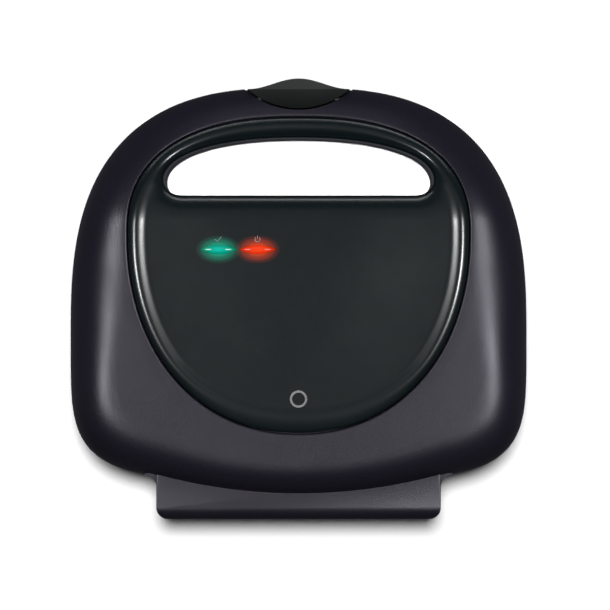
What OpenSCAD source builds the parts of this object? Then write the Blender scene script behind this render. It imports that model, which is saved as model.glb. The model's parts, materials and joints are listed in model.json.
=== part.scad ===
// Donut maker: a clamshell appliance with six ring cavities, lying closed on its four feet.
// +Z is up, the handle points to -Y and the hinge tail to +Y. Millimetres.
// The origin is the centre of the overall footprint, on the surface that the feet stand on.

/* [Casing] */
// Width of the casing across its widest line
body_w = 234.8; // [230:0.2:240]
// Height of the casing from the surface to the top of the flat shoulder
body_h = 86; // [84:1:90]
// Wall thickness of the moulded shells
wall = 2.6; // [2:0.1:3]
// Height of the parting line between base and lid
parting_z = 46.5; // [46:0.5:47]
// Gap between base and lid along the parting line
parting_gap = 1; // [0.8:0.1:1.4]
// Amount by which the lid drops and the base rises towards the handle
handle_drop = 14; // [10:1:16]

/* [Panel] */
// Half width of the glossy top panel
panel_a = 87; // [85:0.5:88]
// Gap between the panel and the casing round it
panel_gap = 0.5; // [0.4:0.1:0.8]
// Height of the panel's rolled rim above the casing
rim_rise = 1.8; // [1.4:0.1:2.4]

/* [Cooking plates] */
// Ring radius of a donut cavity
ring_r = 17; // [16:0.5:17]
// Radius of the dough ring's cross-section
dough_r = 10; // [9:0.5:10]
// Spacing of the cavities across the casing
column_step = 64; // [62:1:65]
// Spacing of the cavities along the casing
row_step = 58; // [58:1:60]
// Thickness of the plate's flat rim
plate_t = 4; // [3:0.5:4]

/* [Hinge and latch] */
// Radius of the hinge pins
pin_r = 2; // [1.8:0.1:2]
// Radial running clearance of every pin
pin_play = 0.05; // [0.03:0.01:0.08]
// Radius of the latch's pivot pin
latch_pin_r = 1.5; // [1.4:0.1:1.6]

/* [Feet] */
// Height of the rubber feet
foot_h = 6; // [6:0.5:7]
// Radius of the rubber feet
foot_r = 9; // [8:0.5:10]

/* [Hidden] */
$fn = 48;

// Levels
base_top = parting_z - parting_gap / 2;
lid_bottom = parting_z + parting_gap / 2;
lid_cap_z = body_h;
base_wall_z = 30;
lid_wall_z = 58;

// Outline of the casing: two half superellipses about a point behind the middle
outline_y = 18;
front_b = 126.9;
front_n = 2.75;
rear_b = 75;
rear_n = 4.65;
// The lid's rear bulges over the tail as a shallow arc
bulge_r = 293;
bulge_y = -191.7;
bulge_half_w = 82;

// Outline of the panel and of the handle opening
panel_y = -33.2;
panel_front_b = 59.8;
panel_front_n = 2.45;
panel_rear_b = 101.4;
panel_rear_n = 2.15;
grip_y = -60.5;
grip_a = 68.9;
grip_front_b = 22.2;
grip_front_n = 2.2;
grip_rear_b = 7.5;
grip_corner = 9;
grip_wall = 2.2;

// Tail behind the casing, which carries the hinge
tail_half_w = 72.9;
tail_end_y = 113;
tail_corner_r = 6;
lid_tail_z = 72;
base_tail_z = 32;
hinge_y = 102;
lug_r = 7.5;
base_lug_x = [44, 54];
lid_lug_x = [54.4, 64];
// The base's webs lean forwards, clear of the lid's rear wall as it swings down behind them
base_web_y = [92, 100.3];
lid_web_y = [hinge_y - lug_r + 0.7, hinge_y + lug_r - 0.7];
barrel_half_w = 16;
barrel_bore_r = 4;
link_path = [
    [0, 97, 14], [0, 97, 41], [3, hinge_y, parting_z], [barrel_half_w + 2, hinge_y, parting_z]
];

// Cooking plates
plate_size = [204, 124];
plate_corner_r = 24;
plate_y = 18;
cup_wall = 2.6;
heater_r = 3.2;
heater_z = base_top - dough_r - cup_wall - heater_r - 0.5;
clamp_x = 32;
clamp_t = 1.5;
clamp_z = heater_z - heater_r - clamp_t;
bracket_t = 1;
reflector_z = 18;
sheet_t = 0.8;

// Fixings of the inner frames
frame_t = 3;
frame_screws = [[108.4, -15], [108.4, 55], [-108.4, -15], [-108.4, 55]];
panel_screw_xy = [[80, -25], [-80, -25], [49, 45], [-49, 45]];
panel_tab_r = 5;

// Latch
latch_y = -107.6;
latch_half_w = 26.2;
latch_tip = 5.4;
latch_arc_r = 40;
latch_arc_y = -137.9;
recess_arc_r = 41;
latch_pivot = [-103, 60];
latch_arm_half_w = 9;
catch_z = 38;

// Feet, cord inlet and indicator lamps
feet_xy = [[-80, -22], [80, -22], [-80, 68], [80, 68]];
gland_x = -45;
gland_z = 18;
gland_bore_r = 3.6;
gland_neck_r = 3;
lamp_y = -25.2;
ready_x = 40.9;
power_x = 20.9;
lens_half_l = 9;
lens_half_w = 2.3;
emblem_y = 51;
emblem_z = lid_cap_z + 0.4;
emblem_r = 4.4;

// Directions of the rays that the shells are lofted along, closest at the rounded corners
ray_count = 72;
rays = [for (i = [0:ray_count - 1]) 360 * i / ray_count];

function smooth_step(s) = let (k = min(1, max(0, s))) k * k * (3 - 2 * k);
function super_value(x, y, a, b, n) = pow(abs(x / a), n) + pow(abs(y / b), n);
function super_radius(t, a, b, n) = pow(super_value(cos(t), sin(t), a, b, n), -1 / n);
function ray_point(t, r) = [r * cos(t), panel_y + r * sin(t)];

function in_outline(p) =
    p[1] < outline_y
    ? super_value(p[0], p[1] - outline_y, body_w / 2, front_b, front_n) < 1
    : super_value(p[0], p[1] - outline_y, body_w / 2, rear_b, rear_n) < 1;
function in_bulge(p) =
    p[1] > outline_y && abs(p[0]) < bulge_half_w && norm([p[0], p[1] - bulge_y]) < bulge_r;
function in_casing(p, bulged) = in_outline(p) || (bulged && in_bulge(p));

// Radius of the casing along a ray, found by halving the interval
function casing_radius(t, bulged, low = 60, high = 170, steps = 22) =
    let (mid = (low + high) / 2)
    steps == 0 ? mid
    : in_casing(ray_point(t, mid), bulged) ? casing_radius(t, bulged, mid, high, steps - 1)
    : casing_radius(t, bulged, low, mid, steps - 1);
function panel_radius(t) =
    sin(t) < 0
    ? super_radius(t, panel_a, panel_front_b, panel_front_n)
    : super_radius(t, panel_a, panel_rear_b, panel_rear_n);

lid_radii = [for (t = rays) casing_radius(t, true)];
base_radii = [for (t = rays) casing_radius(t, false)];
panel_radii = [for (t = rays) panel_radius(t)];

// Heights: both shells slope towards each other in front of the cooking plates
function grip_slope(y) = smooth_step((-40 - y) / 60);
function lid_cap(y) = lid_cap_z - handle_drop * grip_slope(y);
function base_floor(y) = foot_h + (handle_drop + 4) * grip_slope(y);
function shoulder(d, w) = let (k = min(1, max(0, d / w))) pow(1 - pow(1 - k, 2.2), 1 / 2.2);
function lid_shoulder_w(t, span) = min(span, 30 - 14 * pow(max(0, sin(t)), 3));

// One ring of points at radius r_i along each ray, with its heights
function lid_ring(u, skin) = [
    for (i = [0:ray_count - 1])
        let (t = rays[i], span = lid_radii[i] - panel_radii[i] - panel_gap)
        let (d = skin + u * (span - skin), p = ray_point(t, lid_radii[i] - d))
        let (low = lid_wall_z - skin / 2, high = lid_cap(p[1]) - skin)
        [p[0], p[1], low + (high - low) * shoulder(d - skin, lid_shoulder_w(t, span))]
];
function lid_wall_ring(skin, z) = [
    for (i = [0:ray_count - 1])
        let (p = ray_point(rays[i], lid_radii[i] - skin)) [p[0], p[1], z]
];
// A ring that follows the panel's outline, grown by g, at a depth below the lid's cap
function panel_ring(g, depth, size = 1) = [
    for (i = [0:ray_count - 1])
        let (p = ray_point(rays[i], (panel_radii[i] + g) * size))
        [p[0], p[1], lid_cap(p[1]) - depth]
];
function base_wall_ring(skin, z) = [
    for (i = [0:ray_count - 1])
        let (p = ray_point(rays[i], base_radii[i] - skin)) [p[0], p[1], z]
];
function base_ring(u, skin) = [
    for (i = [0:ray_count - 1])
        let (span = base_radii[i] - panel_radii[i], d = skin + u * (span - skin))
        let (p = ray_point(rays[i], base_radii[i] - d))
        let (low = base_floor(p[1]) + skin, high = base_wall_z + skin / 2)
        [p[0], p[1], high + (low - high) * shoulder(d - skin, min(18, span))]
];
function base_floor_ring(size, skin) = [
    for (i = [0:ray_count - 1])
        let (p = ray_point(rays[i], panel_radii[i] * size))
        [p[0], p[1], base_floor(p[1]) + skin]
];

function flat_list(lists) = [for (l = lists) for (p = l) p];
function band(i, j) = [
    for (k = [0:ray_count - 1])
        let (a = i * ray_count + k, b = i * ray_count + (k + 1) % ray_count)
        let (c = j * ray_count + k, d = j * ray_count + (k + 1) % ray_count)
        each [[a, c, b], [b, c, d]]
];

// A closed tube of rings, joined end to end
module ring_tube(rings) {
    count = len(rings);
    polyhedron(points = flat_list(rings), faces = [for (i = [0:count - 1]) each band(i, (i + 1) % count)]);
}

function turned(faces) = [for (f = faces) [for (i = [len(f) - 1:-1:0]) f[i]]];

// A solid of stacked rings with a flat first face, closed by a point above or below them
module ring_cap(rings, tip, hangs = false) {
    count = len(rings);
    last = (count - 1) * ray_count;
    faces = concat(
        [[for (k = [0:ray_count - 1]) k]],
        [for (i = [0:count - 2]) each band(i, i + 1)],
        [for (k = [0:ray_count - 1]) [last + k, count * ray_count, last + (k + 1) % ray_count]]
    );
    polyhedron(points = concat(flat_list(rings), [tip]), faces = hangs ? turned(faces) : faces);
}

// ---- Plan outlines -------------------------------------------------------------------

function rounded_points(w, l, r, steps = 6) = [
    for (corner = [[1, 1, 0], [-1, 1, 90], [-1, -1, 180], [1, -1, 270]])
        for (i = [0:steps])
            let (a = corner[2] + 90 * i / steps)
            [corner[0] * (w / 2 - r) + r * cos(a), corner[1] * (l / 2 - r) + r * sin(a)]
];

module rounded_slab(w, l, r, low, high) {
    translate([0, plate_y, low])
        linear_extrude(high - low)
            polygon(rounded_points(w, l, r));
}

// Handle opening, grown by g: a long arch at the front, a straight rear edge with round corners
function grip_points(g) = [
    for (t = [180:7.5:360])
        let (x = (grip_a + g) * sign(cos(t)) * pow(abs(cos(t)), 2 / grip_front_n))
        [x, grip_y - (grip_front_b + g) * pow(abs(sin(t)), 2 / grip_front_n)],
    for (t = [15:15:90])
        [grip_a - grip_corner + (grip_corner + g) * cos(t), grip_y + (grip_rear_b + g) * sin(t)],
    for (t = [90:15:165])
        [grip_corner - grip_a + (grip_corner + g) * cos(t), grip_y + (grip_rear_b + g) * sin(t)]
];

module grip_prism(g, low, high) {
    translate([0, 0, low])
        linear_extrude(high - low)
            polygon(grip_points(g));
}

module casing_slab(radii, inset, low, high) {
    translate([0, 0, low])
        linear_extrude(high - low)
            polygon([for (i = [0:ray_count - 1]) ray_point(rays[i], radii[i] - inset)]);
}

// ---- Shared pieces, drawn on the base side -------------------------------------------

// Turns a base-side piece over into its twin on the lid side
module lid_side() {
    translate([0, 0, 2 * parting_z])
        mirror([0, 0, 1])
            children();
}

module along_x(r, x0, x1) {
    translate([x0, 0, 0])
        rotate([0, 90, 0])
            cylinder(r = r, h = x1 - x0);
}

module cup_places() {
    for (column = [-1:1])
        for (row = [-0.5, 0.5])
            translate([column * column_step, plate_y + row * row_step, base_top])
                children();
}

// Lower half of a ring's round section, carried up or cut off level at height top
function cup_profile(r, step, top) = concat(
    [[ring_r - r, top]],
    [for (a = [180 + step:step:360 - step]) [ring_r + r * cos(a), r * sin(a)]],
    [[ring_r + r, top]]
);

module plate_shape() {
    difference() {
        union() {
            rounded_slab(plate_size[0], plate_size[1], plate_corner_r, base_top - plate_t, base_top);
            cup_places()
                rotate_extrude($fn = 64)
                    polygon(cup_profile(dough_r + cup_wall, 30, -2));
            for (x = [-clamp_x, clamp_x])
                translate([x, plate_y, clamp_z + clamp_t])
                    cylinder(r = 4, h = base_top - plate_t - clamp_z - clamp_t + 1);
        }
        cup_places()
            rotate_extrude($fn = 64)
                polygon(cup_profile(dough_r, 15, 1));
        for (x = [-clamp_x, clamp_x])
            translate([x, plate_y, clamp_z])
                cylinder(r = 1.6, h = 14);
    }
}

module heater_shape() {
    bend_x = column_step;
    run = row_step / 2;
    for (side = [-1, 1])
        translate([0, plate_y + side * run, heater_z]) {
            along_x(heater_r, -86, bend_x);
            along_x(1.2, -90, -85);
            translate([-95, -0.4, -3])
                cube([6, 0.8, 6]);
        }
    translate([bend_x, plate_y, heater_z])
        rotate([0, 0, -90])
            rotate_extrude(angle = 180, $fn = 64)
                translate([run, 0])
                    circle(r = heater_r);
}

module clamp_bar_shape() {
    for (x = [-clamp_x, clamp_x])
        difference() {
            translate([x - 6, plate_y - 37, clamp_z])
                cube([12, 74, clamp_t]);
            translate([x, plate_y, clamp_z - 1])
                cylinder(r = 1.8, h = 4);
        }
}

// Screws up into the plate's posts, with their slotted heads under height seat_z
module plate_screw_shape(seat_z) {
    for (x = [-clamp_x, clamp_x])
        translate([x, plate_y, seat_z - 2]) {
            translate([0, 0, 1])
                cylinder(r = 1.5, h = 14);
            difference() {
                cylinder(r = 3, h = 2);
                translate([-3, -0.5, -0.2])
                    cube([6, 1, 1]);
            }
        }
}

module reflector_shape() {
    size = [186, 108];
    difference() {
        rounded_slab(size[0], size[1], 18, reflector_z, reflector_z + 7);
        rounded_slab(size[0] - 2 * sheet_t, size[1] - 2 * sheet_t, 18 - sheet_t,
            reflector_z + sheet_t, reflector_z + 8);
    }
}

// Moulded frame round a plate: flat face, skirt, and the ledge that the plate's rim lies on
module frame_shape(radii) {
    opening = [plate_size[0] + 1.6, plate_size[1] + 1.6];
    corner = plate_corner_r + 0.8;
    low = base_top - frame_t;
    ledge = base_top - plate_t - 0.2;
    difference() {
        union() {
            casing_slab(radii, wall + 0.3, low, base_top);
            rounded_slab(opening[0] + 4, opening[1] + 4, corner + 2, ledge - 2, base_top - 1);
        }
        rounded_slab(opening[0], opening[1], corner, ledge, base_top + 1);
        rounded_slab(opening[0] - 7, opening[1] - 5.6, corner - 2.8, ledge - 3, base_top + 1);
        grip_prism(grip_wall + 0.4, low - 1, base_top + 1);
    }
}

// ---- Base ----------------------------------------------------------------------------

module base_outer() {
    ring_cap([
        base_wall_ring(0, base_top), base_wall_ring(0, base_wall_z), base_ring(0.03, 0),
        base_ring(0.1, 0), base_ring(0.22, 0), base_ring(0.42, 0), base_ring(0.7, 0),
        base_floor_ring(1, 0), base_floor_ring(0.72, 0), base_floor_ring(0.4, 0)
    ], [0, panel_y, base_floor(panel_y)], hangs = true);
}

module base_inner() {
    ring_cap([
        base_wall_ring(wall, base_top + 1), base_wall_ring(wall, base_wall_z + wall / 2),
        base_ring(0.1, wall), base_ring(0.3, wall), base_ring(0.65, wall),
        base_floor_ring(1, wall), base_floor_ring(0.72, wall), base_floor_ring(0.4, wall)
    ], [0, panel_y, base_floor(panel_y) + wall], hangs = true);
}

// Rear block: plan outline with rounded corners, cut by a side profile with a rounded top edge
module tail_block(inset, y0, low, high, edge_r) {
    half = tail_half_w - inset;
    end = tail_end_y - inset;
    r = tail_corner_r - inset;
    intersection() {
        translate([0, 0, low])
            linear_extrude(high - low) {
                translate([-half, y0])
                    square([2 * half, end - r - y0]);
                translate([r - half, y0 + 1])
                    square([2 * (half - r), end - y0 - 1]);
                for (side = [-1, 1])
                    translate([side * (half - r), end - r])
                        circle(r = r);
            }
        rotate([90, 0, 90])
            translate([0, 0, -half - 1])
                linear_extrude(2 * half + 2) {
                    translate([y0 - 1, low - 1])
                        square([end - y0 + 1 - edge_r, high - low + 1]);
                    translate([y0 - 1, low - 1])
                        square([end - y0 + 1, high - low + 1 - edge_r]);
                    translate([end - edge_r, high - edge_r])
                        circle(r = edge_r);
                }
    }
}

// Concave fillets in plan between the casing and the sides of the lid's tail
module tail_fillets(low, high) {
    r = 5.8;
    for (side = [0, 1])
        mirror([side, 0, 0])
            translate([0, 0, low])
                linear_extrude(high - low)
                    polygon(concat(
                        [[tail_half_w - 1.4, 96.3], [tail_half_w - 1.4, 89.2], [tail_half_w + r, 89.2]],
                        [for (a = [270:-10:180]) [tail_half_w + r + r * cos(a), 96.3 + r * sin(a)]]
                    ));
}

// Pair of hinge lugs whose webs run from the hinge axis to height root_z
module hinge_lug(x_range, root_z, web_y) {
    w = x_range[1] - x_range[0];
    for (x0 = [-x_range[1], x_range[0]])
        difference() {
            union() {
                translate([0, hinge_y, parting_z])
                    along_x(lug_r, x0, x0 + w);
                translate([x0, web_y[0], min(parting_z, root_z)])
                    cube([w, web_y[1] - web_y[0], abs(root_z - parting_z)]);
            }
            translate([0, hinge_y, parting_z])
                along_x(pin_r + pin_play, x0 - 1, x0 + w + 1);
        }
}

module base_housing() {
    screw_tube_r = 4.2;
    screw_tube_z = 14;
    color([0.09, 0.085, 0.1])
        difference() {
            union() {
                difference() {
                    union() {
                        base_outer();
                        tail_block(0, 80, foot_h, base_tail_z, 3);
                    }
                    difference() {
                        base_inner();
                        grip_prism(grip_wall, 0, 60);
                        latch_pocket_block();
                    }
                    tail_block(wall, 78, foot_h + wall, base_tail_z - wall, 1);
                }
                for (p = frame_screws)
                    translate([p[0], p[1], screw_tube_z])
                        cylinder(r = screw_tube_r, h = 36 - screw_tube_z);
                hinge_lug(base_lug_x, base_tail_z - 1, base_web_y);
                translate([0, hinge_y, parting_z])
                    along_x(lug_r, -barrel_half_w, barrel_half_w);
                translate([-barrel_half_w, base_web_y[0], base_tail_z - 1])
                    cube([2 * barrel_half_w, base_web_y[1] - base_web_y[0], parting_z - base_tail_z + 1]);
                translate([gland_x - 12.4, 100.2, foot_h + 1])
                    cube([24.8, 12, base_tail_z - foot_h - 2]);
            }
            grip_prism(0, -1, 60);
            translate([-12, -112, 28])
                cube([24, 11, 30]);
            for (p = frame_screws) {
                translate([p[0], p[1], foot_h - 2])
                    cylinder(r = 3, h = 16);
                translate([p[0], p[1], foot_h])
                    cylinder(r = 1.7, h = 40);
            }
            for (p = feet_xy)
                translate([p[0], p[1], foot_h - 1])
                    cylinder(r = 1.7, h = 5);
            translate([0, hinge_y, parting_z])
                along_x(barrel_bore_r, -1, barrel_half_w + 1);
            wire(link_path, 2.8);
            translate([gland_x - 10, 105, foot_h - 1])
                cube([20, 10, 23]);
            translate([gland_x, 99, gland_z])
                rotate([-90, 0, 0])
                    cylinder(r = 5, h = 8);
        }
}

// Solid corner that is left in the base's wall behind the latch, before its pocket is cut
module latch_pocket_block() {
    translate([-14, -105.5, 26])
        cube([28, 6.5, 24]);
}

module base_inner_frame() {
    color([0.1, 0.1, 0.1])
        difference() {
            union() {
                frame_shape(base_radii);
                for (p = frame_screws)
                    translate([p[0], p[1], 36.4])
                        cylinder(r = 3.3, h = base_top - 37.4);
            }
            for (p = frame_screws)
                translate([p[0], p[1], 36])
                    cylinder(r = 1.4, h = 8);
            translate([-15, -120, 30])
                cube([30, 22, 20]);
        }
}

module base_plate() {
    color([0.16, 0.16, 0.17])
        plate_shape();
}

module base_heater() {
    color([0.55, 0.54, 0.5])
        heater_shape();
}

module base_clamp_bars() {
    color([0.7, 0.7, 0.7])
        clamp_bar_shape();
}

module base_plate_screws() {
    color([0.75, 0.75, 0.76])
        plate_screw_shape(clamp_z - bracket_t);
}

module base_reflector() {
    color([0.78, 0.79, 0.8])
        reflector_shape();
}

module base_screws() {
    color([0.75, 0.75, 0.76])
        for (p = frame_screws)
            translate([p[0], p[1], 17.6]) {
                cylinder(r = 2.7, h = 2.4);
                cylinder(r = 1.35, h = 25);
            }
}

// Steel strike that the latch hooks under: a back plate with a ledge
module base_catch() {
    color([0.72, 0.72, 0.73])
        translate([-11, 0, 0]) {
            translate([0, -102.2, 29])
                cube([22, 1.2, 14]);
            translate([0, -105.2, catch_z])
                cube([22, 3.1, 3]);
        }
}

module thermostat() {
    color([0.85, 0.84, 0.8]) {
        translate([0, plate_y, clamp_z]) {
            cylinder(r = 8, h = 7.6);
            cylinder(r = 6, h = heater_z + heater_r - clamp_z + 0.3);
        }
        for (side = [-1, 1])
            translate([side * 10.5 - 4, plate_y - 3, clamp_z + 2])
                cube([8, 6, 0.8]);
    }
}

module thermostat_bracket() {
    color([0.7, 0.7, 0.7])
        difference() {
            translate([-clamp_x - 6, plate_y - 6, clamp_z - bracket_t])
                cube([2 * clamp_x + 12, 12, bracket_t]);
            for (x = [-clamp_x, clamp_x])
                translate([x, plate_y, clamp_z - 3])
                    cylinder(r = 1.8, h = 6);
        }
}

module thermal_fuse() {
    color([0.8, 0.78, 0.7])
        translate([0, plate_y, clamp_z + 2]) {
            along_x(2.2, -66, -52);
            along_x(0.6, -71, -47);
        }
}

module terminal_block() {
    color([0.93, 0.92, 0.88])
        difference() {
            translate([-28, 95, foot_h + wall])
                cube([22, 11, 12]);
            for (i = [0:2])
                translate([-24.5 + 7.5 * i, 100.5, 0]) {
                    translate([0, 0, 12])
                        cylinder(r = 1.8, h = 12);
                    translate([0, 6, 12])
                        rotate([90, 0, 0])
                            cylinder(r = 1.4, h = 12);
                }
        }
}

// Insulated wire: round lengths between the listed points, with a ball at each bend
module wire(points, r) {
    for (i = [0:len(points) - 2]) {
        step = points[i + 1] - points[i];
        translate(points[i])
            rotate([0, acos(step[2] / norm(step)), atan2(step[1], step[0])])
                cylinder(r = r, h = norm(step), $fn = 24);
    }
    for (i = [1:1:len(points) - 2])
        translate(points[i])
            sphere(r = r * 1.12, $fn = 24);
}

module base_wiring() {
    low = foot_h + wall + 3;
    front_end = [-97, plate_y - row_step / 2, heater_z];
    rear_end = [-97, plate_y + row_step / 2, heater_z];
    color([0.82, 0.8, 0.74]) {
        wire([[-24.5, 98, 12], [-24.5, 80, low], [-99, 60, low], [-99, rear_end[1], 22], rear_end], 1.1);
        wire([[-17, 98, 12], [-17, 76, low], [-99, 20, low], [-99, front_end[1], 22], front_end], 1.1);
        wire([[-9.5, 98, 12], [-9.5, 72, low], [-9.5, 40, low], [-9.5, 24, 14.5]], 1.1);
    }
}

// Heat-resistant sleeve that carries the lid's supply through the hinge barrel
module link_wires() {
    color([0.82, 0.8, 0.74])
        wire(link_path, 2.2);
}

module cord_gland() {
    color([0.06, 0.06, 0.06])
        translate([gland_x, 0, gland_z])
            rotate([-90, 0, 0])
                difference() {
                    union() {
                        translate([0, 0, 98.4])
                            cylinder(r = 4.9, h = 13.6);
                        translate([0, 0, 97])
                            cylinder(r = 6.6, h = 3.1);
                        translate([0, 0, 105.1])
                            cylinder(r = 7.5, h = 2.4);
                        translate([0, 0, 107])
                            cylinder(r = 5.6, h = 4.6);
                    }
                    translate([0, 0, 96])
                        cylinder(r = gland_neck_r, h = 18);
                    translate([0, 0, 106])
                        cylinder(r = gland_bore_r, h = 8);
                }
}

module foot(index) {
    color([0.05, 0.05, 0.05])
        translate([feet_xy[index][0], feet_xy[index][1], 0])
            difference() {
                rotate_extrude()
                    polygon([
                        [0, 0], [foot_r - 1.5, 0], [foot_r - 0.7, 0.5], [foot_r - 0.4, 1.2],
                        [foot_r, foot_h - 0.1], [0, foot_h - 0.1]
                    ]);
                translate([0, 0, -1])
                    cylinder(r = 4, h = 4);
                translate([0, 0, 1])
                    cylinder(r = 1.8, h = 6);
            }
}

module foot_front_left() {
    foot(0);
}

module foot_front_right() {
    foot(1);
}

module foot_rear_left() {
    foot(2);
}

module foot_rear_right() {
    foot(3);
}

module foot_screws() {
    color([0.75, 0.75, 0.76])
        for (p = feet_xy)
            translate([p[0], p[1], 0.9]) {
                cylinder(r = 3.4, h = 2);
                cylinder(r = 1.6, h = 10);
            }
}

module rating_plate() {
    color([0.8, 0.8, 0.8])
        translate([-25, 10, foot_h - 0.4])
            cube([50, 26, 0.38]);
}

module hinge_pin(side) {
    color([0.78, 0.78, 0.79])
        mirror([side < 0 ? 1 : 0, 0, 0])
            translate([0, hinge_y, parting_z]) {
                along_x(pin_r, 41.5, 66);
                along_x(pin_r + 1.2, 66, 67.4);
            }
}

module hinge_pin_left() {
    hinge_pin(-1);
}

module hinge_pin_right() {
    hinge_pin(1);
}

// ---- Lid -----------------------------------------------------------------------------

// Casing ring of the lid: outer skin, step down to the panel's ledge, inner skin
module lid_ring_shell() {
    ledge = 5.4;
    ring_tube([
        lid_wall_ring(0, lid_bottom), lid_wall_ring(0, lid_wall_z), lid_ring(0.03, 0),
        lid_ring(0.1, 0), lid_ring(0.22, 0), lid_ring(0.4, 0), lid_ring(0.65, 0), lid_ring(1, 0),
        panel_ring(panel_gap, ledge), panel_ring(-4, ledge), panel_ring(-4, ledge + 2),
        panel_ring(2.5, ledge + 2), lid_ring(0.6, wall), lid_ring(0.3, wall), lid_ring(0.1, wall),
        lid_wall_ring(wall, lid_wall_z - wall / 2), lid_wall_ring(wall, lid_bottom)
    ]);
}

// Filled lid under the same outer skin, to trim what must end flush with it
module lid_outer() {
    ring_cap([
        lid_wall_ring(0.3, lid_bottom), lid_wall_ring(0.3, lid_wall_z), lid_ring(0.1, 0.4),
        lid_ring(0.4, 0.4), panel_ring(0, 6), panel_ring(0, 6, 0.5)
    ], [0, panel_y, lid_cap(panel_y) - 6]);
}

module latch_recess(r, low, high) {
    translate([0, latch_arc_y, low])
        cylinder(r = r, h = high - low, $fn = 96);
}

module lid_housing() {
    color([0.09, 0.085, 0.1])
        difference() {
            union() {
                difference() {
                    union() {
                        lid_ring_shell();
                        tail_block(0, 89.2, lid_bottom, lid_tail_z, tail_corner_r);
                        tail_fillets(lid_bottom, lid_tail_z - 1);
                    }
                    tail_block(wall, 80, lid_bottom - 1, lid_tail_z - wall, tail_corner_r - wall);
                }
                hinge_lug(lid_lug_x, lid_tail_z - 1, lid_web_y);
                intersection() {
                    latch_recess(recess_arc_r + 2.4, lid_bottom, lid_cap_z);
                    lid_outer();
                }
                for (p = frame_screws)
                    translate([p[0], p[1], lid_bottom + frame_t + 0.1])
                        cylinder(r = 3.4, h = 22);
                for (p = panel_screw_xy)
                    translate([p[0], p[1], lid_cap_z - 7.3])
                        cylinder(r = panel_tab_r, h = 1.8);
            }
            latch_recess(recess_arc_r, lid_bottom - 1, lid_cap_z + 1);
            translate([0, latch_pivot[0], latch_pivot[1]])
                along_x(latch_pin_r + pin_play, -27, 27);
            for (p = frame_screws)
                translate([p[0], p[1], lid_bottom])
                    cylinder(r = 1.4, h = 18);
            for (p = panel_screw_xy)
                translate([p[0], p[1], lid_cap_z - 9])
                    cylinder(r = 1.7, h = 5);
        }
}

// Filled panel: its rolled rim and crowned field over a flat face at height low
module panel_solid(g, drop, low) {
    crown = rim_rise;
    ring_cap([
        [for (p = panel_ring(g, 0)) [p[0], p[1], low]], panel_ring(g, 0.8 + drop),
        panel_ring(g - 0.5, drop - 0.6), panel_ring(g - 3, drop - crown),
        panel_ring(g - 6, drop - crown + 0.2), panel_ring(g - 9, drop - 0.8),
        panel_ring(0, drop - 1, 0.68), panel_ring(0, drop - 1.3, 0.34)
    ], [0, panel_y, lid_cap(panel_y) - drop + 1.4]);
}

module lens_outline(g) {
    r = (lens_half_l * lens_half_l + lens_half_w * lens_half_w) / (2 * lens_half_w);
    intersection_for (side = [-1, 1])
        translate([0, side * (r - lens_half_w)])
            circle(r = r + g, $fn = 96);
}

module lid_panel() {
    skin = 2.4;
    color([0.05, 0.055, 0.055])
        difference() {
            panel_solid(0, 0, lid_bottom + 0.6);
            difference() {
                panel_solid(-skin, skin, lid_bottom - 2);
                grip_prism(grip_wall, 0, 120);
            }
            difference() {
                panel_solid(3, 5.3, lid_bottom - 2);
                grip_prism(grip_wall, 0, 120);
            }
            grip_prism(0, 0, 120);
            translate([0, emblem_y, emblem_z])
                cylinder(r = emblem_r + 0.1, h = 5);
            for (x = [ready_x, power_x])
                translate([x, lamp_y, lid_cap_z - 6])
                    linear_extrude(12)
                        lens_outline(0.15);
        }
}

module lid_inner_frame() {
    color([0.1, 0.1, 0.1])
        difference() {
            lid_side()
                frame_shape(base_radii);
            for (p = frame_screws)
                translate([p[0], p[1], lid_bottom - 1]) {
                    cylinder(r = 3, h = 2.6);
                    cylinder(r = 1.7, h = 6);
                }
            latch_recess(recess_arc_r + 2.8, lid_bottom - 1, 60);
        }
}

module lid_plate() {
    color([0.16, 0.16, 0.17])
        lid_side()
            plate_shape();
}

module lid_heater() {
    color([0.55, 0.54, 0.5])
        lid_side()
            heater_shape();
}

module lid_clamp_bars() {
    color([0.7, 0.7, 0.7])
        lid_side()
            clamp_bar_shape();
}

module lid_plate_screws() {
    color([0.75, 0.75, 0.76])
        lid_side()
            plate_screw_shape(clamp_z);
}

module lid_reflector() {
    color([0.78, 0.79, 0.8])
        lid_side()
            reflector_shape();
}

module lid_screws() {
    color([0.75, 0.75, 0.76])
        for (p = frame_screws)
            translate([p[0], p[1], lid_bottom]) {
                translate([0, 0, 0.1])
                    cylinder(r = 2.7, h = 1.5);
                translate([0, 0, 1])
                    cylinder(r = 1.35, h = 15);
            }
}

// Screws that hold the panel's bosses to the tabs of the casing ring
module panel_screws() {
    color([0.75, 0.75, 0.76])
        for (p = panel_screw_xy)
            translate([p[0], p[1], lid_cap_z - 9]) {
                cylinder(r = 2.8, h = 1.6);
                cylinder(r = 1.6, h = 6.8);
            }
}

module lens(x) {
    translate([x, lamp_y, lid_cap_z - 3])
        intersection() {
            linear_extrude(5.2)
                lens_outline(0);
            translate([0, 0, -17])
                rotate([90, 0, 0])
                    cylinder(r = 22.2, h = 12, center = true, $fn = 128);
        }
}

module ready_lens() {
    color([0, 0.62, 0.4])
        lens(ready_x);
}

module power_lens() {
    color([0.95, 0.22, 0.03])
        lens(power_x);
}

module lamp(x) {
    translate([x, lamp_y, lid_cap_z - 6.6]) {
        along_x(1.9, -5, 5);
        for (side = [-1, 1])
            translate([side * 4, 0, -2.3])
                cylinder(r = 0.4, h = 1.9);
    }
}

module ready_lamp() {
    color([0.5, 0.9, 0.7])
        lamp(ready_x);
}

module power_lamp() {
    color([0.95, 0.6, 0.4])
        lamp(power_x);
}

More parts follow.
